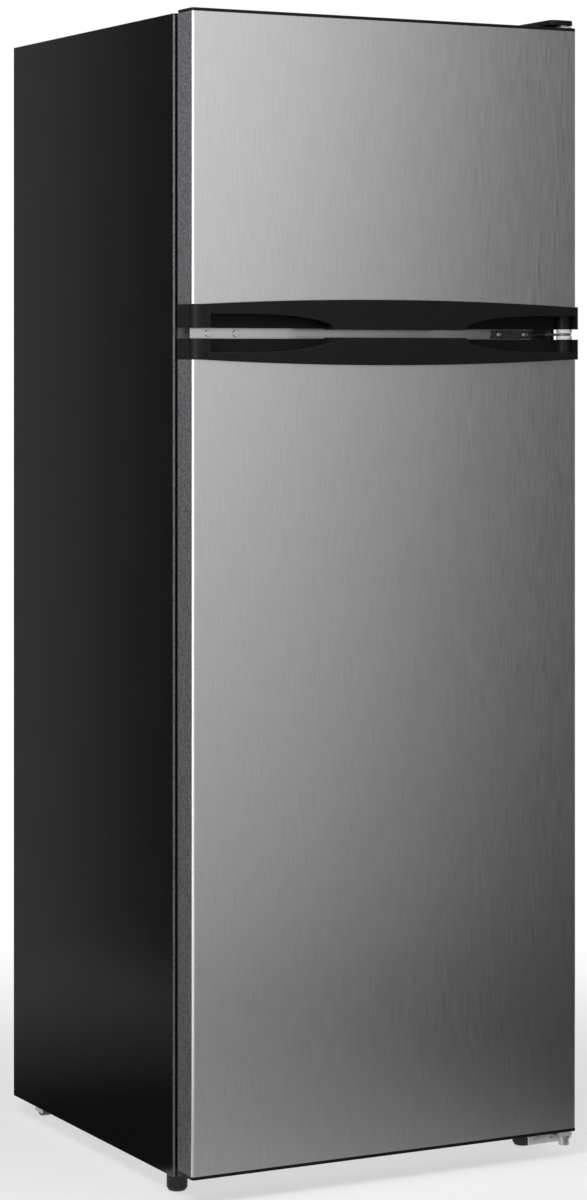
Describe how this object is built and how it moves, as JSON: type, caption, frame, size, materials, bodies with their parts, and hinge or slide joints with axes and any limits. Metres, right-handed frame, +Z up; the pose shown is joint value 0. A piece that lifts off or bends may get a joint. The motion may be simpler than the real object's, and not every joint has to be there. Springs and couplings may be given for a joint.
{
  "type": "top freezer refrigerator",
  "caption": "Free-standing refrigerator with a freezer door above a taller fridge door, brushed steel fronts, black cabinet and finger-grip handles meeting at the gap.",
  "frame": {"origin": "on the floor under the middle of the overall outline, handles included", "axes": "+Z up, doors face -Y, hinges on the +X side"},
  "size_m": [0.5476, 0.557, 1.454],
  "materials": {
    "brushed_stainless": "vertically brushed, satin",
    "black_sheet": "satin black prepainted steel",
    "grey_sheet": "galvanised sheet",
    "zinc_steel": "bright zinc plate",
    "silver_strip": "silver paint",
    "black_plastic": "fine spark texture",
    "white_plastic": "vacuum-formed, soft gloss",
    "nylon": "natural nylon",
    "grey_plastic": "moulded, satin",
    "foam": "blown foam",
    "gasket_rubber": "extruded soft seal",
    "clear_plastic": "clear moulded",
    "shelf_glass": "toughened plate",
    "fin_aluminium": "mill finish",
    "copper_tube": "drawn copper",
    "compressor_paint": "black stove enamel"
  },
  "bodies": {
    "cabinet": {"back_panel": "grey_sheet", "base_plate": "grey_sheet", "bottom_hinge_bracket": "zinc_steel", "compressor": "compressor_paint", "compressor_grommets": "gasket_rubber", "control_housing": "white_plastic", "crisper_cover": "shelf_glass", "divider_strip": "silver_strip", "drip_tray": "grey_plastic", "evaporator_coil": "fin_aluminium", "evaporator_cover": "white_plastic", "fan_motor": "grey_plastic", "freezer_liner": "white_plastic", "freezer_shelf": "white_plastic", "fridge_liner": "white_plastic", "hinge_hole_plugs": "nylon", "hinge_pins": "zinc_steel", "hinge_screws": "zinc_steel", "lamp_cover": "clear_plastic", "left_side_panel": "black_sheet", "lower_shelf": "shelf_glass", "middle_hinge_bracket": "zinc_steel", "refrigerant_tubes": "copper_tube", "relay_cover": "black_plastic", "right_side_panel": "black_sheet", "roller_axles": "zinc_steel", "roller_brackets": "zinc_steel", "shelf_trims": "grey_plastic", "switch_housing": "white_plastic", "top_hinge_bracket": "zinc_steel", "top_hinge_cover": "black_plastic", "top_panel": "black_sheet", "upper_shelf": "shelf_glass", "wall_foam": "foam"},
    "freezer_door": {"freezer_door_skin": "brushed_stainless", "freezer_door_foam": "foam", "freezer_door_liner": "white_plastic", "freezer_door_bushes": "nylon", "freezer_door_handle": "black_plastic", "freezer_door_end_cap": "black_plastic", "freezer_door_gasket": "gasket_rubber", "freezer_door_bins": "clear_plastic"},
    "fridge_door": {"fridge_door_skin": "brushed_stainless", "fridge_door_foam": "foam", "fridge_door_liner": "white_plastic", "fridge_door_bushes": "nylon", "fridge_door_handle": "black_plastic", "fridge_door_end_cap": "black_plastic", "fridge_door_gasket": "gasket_rubber", "fridge_door_bins": "clear_plastic"},
    "crisper_drawer": {"crisper_drawer": "clear_plastic"},
    "thermostat_knob": {"thermostat_knob": "white_plastic"},
    "switch_plunger": {"switch_plunger": "white_plastic"},
    "fan_rotor": {"fan_rotor": "nylon"},
    "left_roller": {"left_roller": "grey_plastic"},
    "right_roller": {"right_roller": "grey_plastic"},
    "left_foot_stud": {"left_foot_stud": "zinc_steel"},
    "left_foot_knob": {"left_foot_knob": "black_plastic"},
    "right_foot_stud": {"right_foot_stud": "zinc_steel"},
    "right_foot_knob": {"right_foot_knob": "black_plastic"}
  },
  "joints": [
    {"name": "freezer_door_hinge", "type": "hinge", "parent": "cabinet", "child": "freezer_door", "pos_m": [0.263, -0.26, 1.0525], "axis": [0, 0, 1], "range_deg": [0, 130]},
    {"name": "fridge_door_hinge", "type": "hinge", "parent": "cabinet", "child": "fridge_door", "pos_m": [0.263, -0.26, 1.0525], "axis": [0, 0, 1], "range_deg": [0, 130]},
    {"name": "crisper_slide", "type": "slide", "parent": "cabinet", "child": "crisper_drawer", "axis": [0, -1, 0], "range_m": [0, 0.125]},
    {"name": "switch_slide", "type": "slide", "parent": "cabinet", "child": "switch_plunger", "axis": [0, -1, 0], "range_m": [0, 0.005]},
    {"name": "thermostat_turn", "type": "hinge", "parent": "cabinet", "child": "thermostat_knob", "pos_m": [0.055, 0.0125, 1.0035], "axis": [0, -1, 0], "range_deg": [-135, 135]},
    {"name": "fan_spin", "type": "hinge", "parent": "cabinet", "child": "fan_rotor", "pos_m": [0, 0.1725, 1.3], "axis": [0, -1, 0], "continuous": true},
    {"name": "left_roller_spin", "type": "hinge", "parent": "cabinet", "child": "left_roller", "pos_m": [-0.235, 0.2585, 0.012], "axis": [1, 0, 0], "continuous": true},
    {"name": "left_foot_lift", "type": "slide", "parent": "cabinet", "child": "left_foot_stud", "axis": [0, 0, 1], "range_m": [-0.005, 0]},
    {"name": "left_foot_turn", "type": "hinge", "parent": "left_foot_stud", "child": "left_foot_knob", "pos_m": [-0.249, -0.1815, 0.01], "axis": [0, 0, 1], "range_deg": [0, 1440]},
    {"name": "right_roller_spin", "type": "hinge", "parent": "cabinet", "child": "right_roller", "pos_m": [0.235, 0.2585, 0.012], "axis": [1, 0, 0], "continuous": true},
    {"name": "right_foot_lift", "type": "slide", "parent": "cabinet", "child": "right_foot_stud", "axis": [0, 0, 1], "range_m": [-0.005, 0]},
    {"name": "right_foot_turn", "type": "hinge", "parent": "right_foot_stud", "child": "right_foot_knob", "pos_m": [0.249, -0.1815, 0.01], "axis": [0, 0, 1], "range_deg": [0, 1440]}
  ],
  "couplings": [
    {"joint": "crisper_slide", "follows": "fridge_door_hinge", "m_per_rad": 0.055},
    {"joint": "switch_slide", "follows": "fridge_door_hinge", "m_per_rad": 0.0022},
    {"joint": "left_foot_turn", "follows": "left_foot_lift", "rad_per_m": -5026},
    {"joint": "right_foot_turn", "follows": "right_foot_lift", "rad_per_m": -5026}
  ]
}
